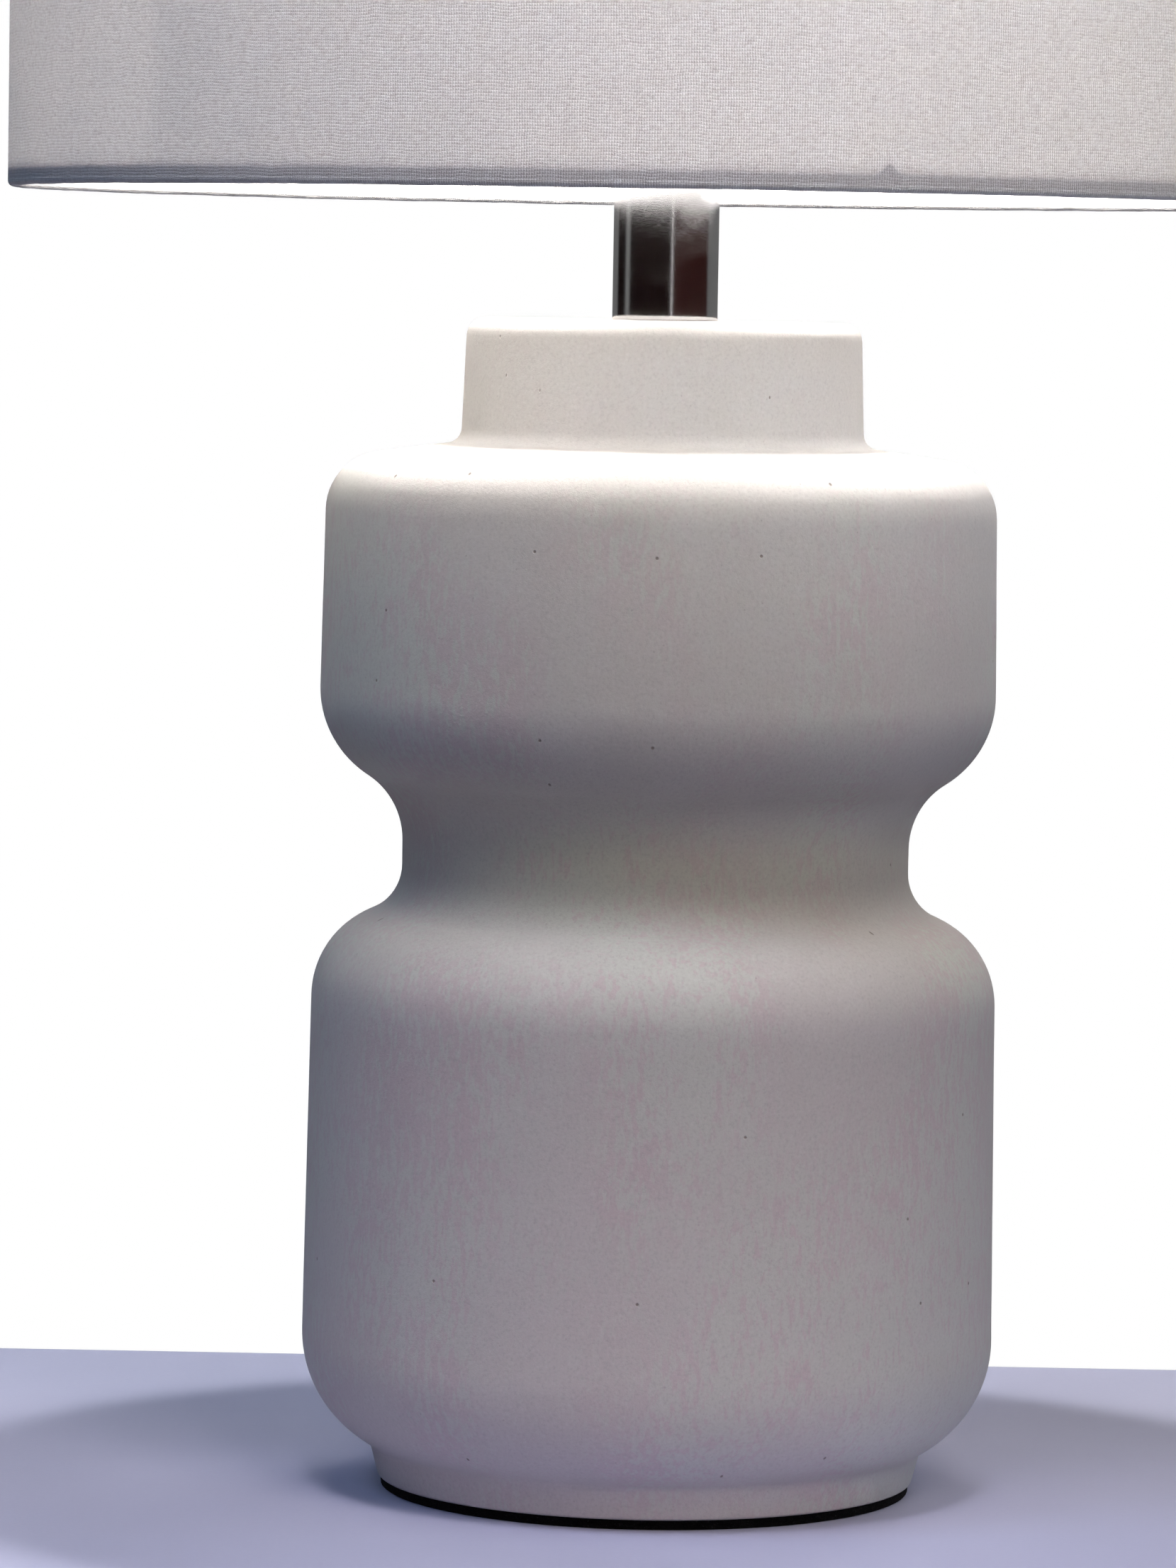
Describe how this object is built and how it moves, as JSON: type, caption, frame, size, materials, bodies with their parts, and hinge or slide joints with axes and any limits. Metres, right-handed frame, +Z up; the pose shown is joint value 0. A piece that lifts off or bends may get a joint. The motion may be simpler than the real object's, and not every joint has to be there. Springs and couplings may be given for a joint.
{
  "type": "table lamp",
  "caption": "Table lamp: waisted matte white ceramic body on a felt pad, chrome neck, keyed screw socket with bulb, and a woven cloth drum shade on a harp.",
  "frame": {"origin": "centre of the felt pad's underside, on the table", "axes": "+Z up along the lamp's axis; -Y is the front with the switch knob, +Y the back with the cord inlet"},
  "size_m": [0.35, 0.35, 0.5796],
  "materials": {
    "felt": "dense black felt",
    "ceramic": "matte white, fine speckle",
    "chrome": "polished",
    "nickel": "satin nickel plate",
    "brass": "turned, lightly aged",
    "zinc_steel": "zinc plated",
    "black_rubber": "matte",
    "fibre": "vulcanised fibre sleeve",
    "phenolic": "moulded",
    "knob_black": "moulded",
    "cap_aluminium": "rolled thread",
    "black_glass": "opaque black glass",
    "opal_glass": "opal white",
    "clear_glass": "clear",
    "filament": "phosphor coat",
    "shade_cloth": "plain woven linen look",
    "shade_sheet": "translucent white sheet",
    "ring_wire": "white coated wire"
  },
  "bodies": {
    "base": {"felt_pad": "felt", "ceramic_lower": "ceramic", "ceramic_upper": "ceramic", "ceramic_collar": "ceramic", "cord_grommet": "black_rubber", "rubber_washer": "black_rubber", "steel_washer": "zinc_steel", "hex_nut": "zinc_steel", "threaded_nipple": "zinc_steel", "neck_lower_bush": "zinc_steel", "neck_tube": "chrome", "neck_top_cap": "chrome", "harp_saddle": "nickel", "harp_wire": "nickel", "harp_seat": "nickel", "socket_cap": "nickel", "cap_set_screw": "zinc_steel", "socket_shell": "nickel", "socket_liner": "fibre", "socket_core": "phenolic", "terminal_screws": "brass", "screw_shell": "cap_aluminium", "centre_contact": "brass"},
    "switch": {"switch_knob": "knob_black", "switch_shaft": "brass", "switch_cam": "phenolic"},
    "bulb": {"bulb_globe": "opal_glass", "bulb_cap": "cap_aluminium", "bulb_insulator": "black_glass", "bulb_contact": "zinc_steel", "bulb_stem": "clear_glass", "bulb_filaments": "filament"},
    "shade": {"shade_cover": "shade_cloth", "shade_liner": "shade_sheet", "bottom_hem": "shade_cloth", "top_hem": "shade_cloth", "bottom_ring": "ring_wire", "top_ring": "ring_wire", "spider": "ring_wire"},
    "finial": {"finial": "chrome"},
    "ferrule_right": {"ferrule_right": "nickel"},
    "ferrule_left": {"ferrule_left": "nickel"}
  },
  "joints": [
    {"name": "switch_turn", "type": "hinge", "parent": "base", "child": "switch", "pos_m": [0, -0.03, 0.398], "axis": [0, -1, 0], "continuous": true},
    {"name": "bulb_turn", "type": "hinge", "parent": "base", "child": "bulb", "pos_m": [0, 0, 0.42], "axis": [0, 0, 1], "continuous": true},
    {"name": "shade_swivel", "type": "hinge", "parent": "base", "child": "shade", "pos_m": [0, 0, 0.549], "axis": [0, 0, 1], "continuous": true},
    {"name": "finial_turn", "type": "hinge", "parent": "base", "child": "finial", "pos_m": [0, 0, 0.555], "axis": [0, 0, 1], "continuous": true},
    {"name": "ferrule_right_lift", "type": "slide", "parent": "base", "child": "ferrule_right", "axis": [0, 0, 1], "range_m": [0, 0.018]},
    {"name": "ferrule_left_lift", "type": "slide", "parent": "base", "child": "ferrule_left", "axis": [0, 0, 1], "range_m": [0, 0.018]}
  ]
}
